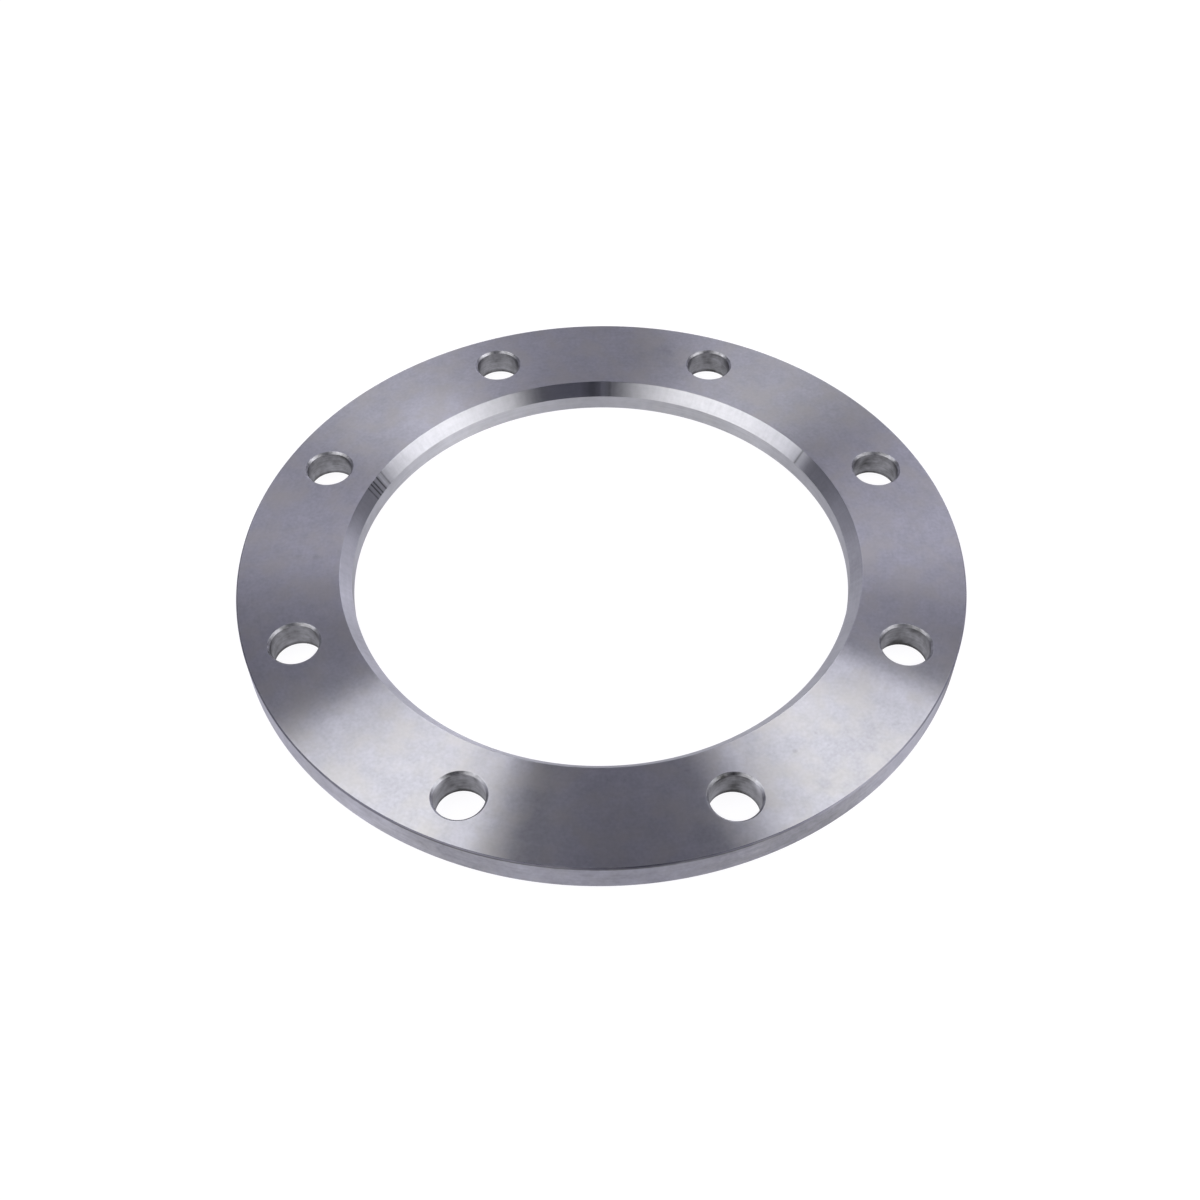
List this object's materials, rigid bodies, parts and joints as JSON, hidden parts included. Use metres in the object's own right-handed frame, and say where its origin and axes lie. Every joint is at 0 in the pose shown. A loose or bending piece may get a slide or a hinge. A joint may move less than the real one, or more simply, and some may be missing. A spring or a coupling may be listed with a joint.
{
  "type": "backing ring flange",
  "caption": "Flat metal ring with a wide bevelled bore and a circle of countersunk bolt holes, which clamps a plastic pipe's stub end to a mating flange.",
  "frame": {"origin": "on the ring's axis, in the plane of its flat back face", "axes": "+Z along the ring's axis, from the back face to the bevelled front face; X and Y are the two centrelines that the bolt holes straddle"},
  "size_m": [0.34, 0.34, 0.014],
  "materials": {
    "turned_stainless": "satin stainless with a fine circular turned lay on the faces and the bevel, plain bored and drilled walls"
  },
  "bodies": {
    "root": {"backing_ring": "turned_stainless"}
  },
  "joints": []
}
